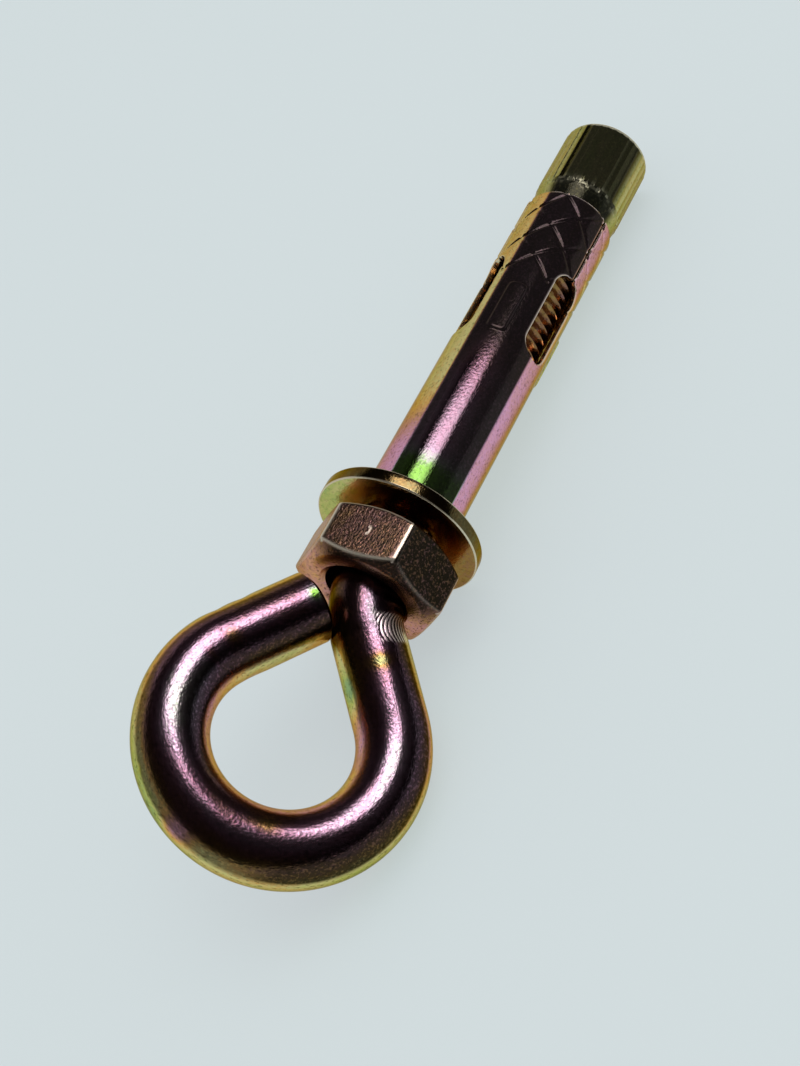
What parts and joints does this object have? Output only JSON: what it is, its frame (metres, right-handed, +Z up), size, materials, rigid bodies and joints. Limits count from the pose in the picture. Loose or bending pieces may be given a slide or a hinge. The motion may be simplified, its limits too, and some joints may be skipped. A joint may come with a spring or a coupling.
{
  "type": "ring anchor bolt",
  "caption": "Sleeve anchor with a closed eye: a rod bent into a teardrop eye, with hex nut, washer, slotted sleeve and ribbed expander cone, lying on its side.",
  "frame": {"origin": "on the bolt axis, at the end of the sleeve that meets the washer", "axes": "+X along the bolt from the eye to the cone, but for the small angle at which it dips as it lies on its washer, its cone and the side of its eye; +Z up from that floor"},
  "size_m": [0.1126, 0.0272, 0.0239],
  "materials": {
    "eye_bolt": "yellow zinc plated drawn rod",
    "hex_nut": "yellow zinc plated",
    "washer": "yellow zinc plated",
    "sleeve": "yellow zinc plated sheet",
    "cone_nut": "yellow zinc plated"
  },
  "bodies": {
    "eye_bolt": {"eye_bolt": "eye_bolt"},
    "washer": {"washer": "washer"},
    "hex_nut": {"hex_nut": "hex_nut"},
    "sleeve": {"sleeve": "sleeve"},
    "cone_nut": {"cone_nut": "cone_nut"}
  },
  "joints": [
    {"name": "washer_slide", "type": "slide", "parent": "eye_bolt", "child": "washer", "axis": [0.998, 0, -0.0639], "range_m": [0, 0.0013]},
    {"name": "nut_turn", "type": "hinge", "parent": "washer", "child": "hex_nut", "pos_m": [0, 0, 0], "axis": [0.998, 0, -0.0639], "range_deg": [0, 312]},
    {"name": "sleeve_slide", "type": "slide", "parent": "eye_bolt", "child": "sleeve", "axis": [0.998, 0, -0.0639], "range_m": [0, 0.0105]},
    {"name": "cone_turn", "type": "hinge", "parent": "sleeve", "child": "cone_nut", "pos_m": [0, 0, 0], "axis": [0.998, 0, -0.0639], "range_deg": [0, 2520]}
  ],
  "couplings": [
    {"joint": "nut_turn", "follows": "washer_slide", "rad_per_m": 4188.8},
    {"joint": "cone_turn", "follows": "sleeve_slide", "rad_per_m": 4188.8}
  ]
}
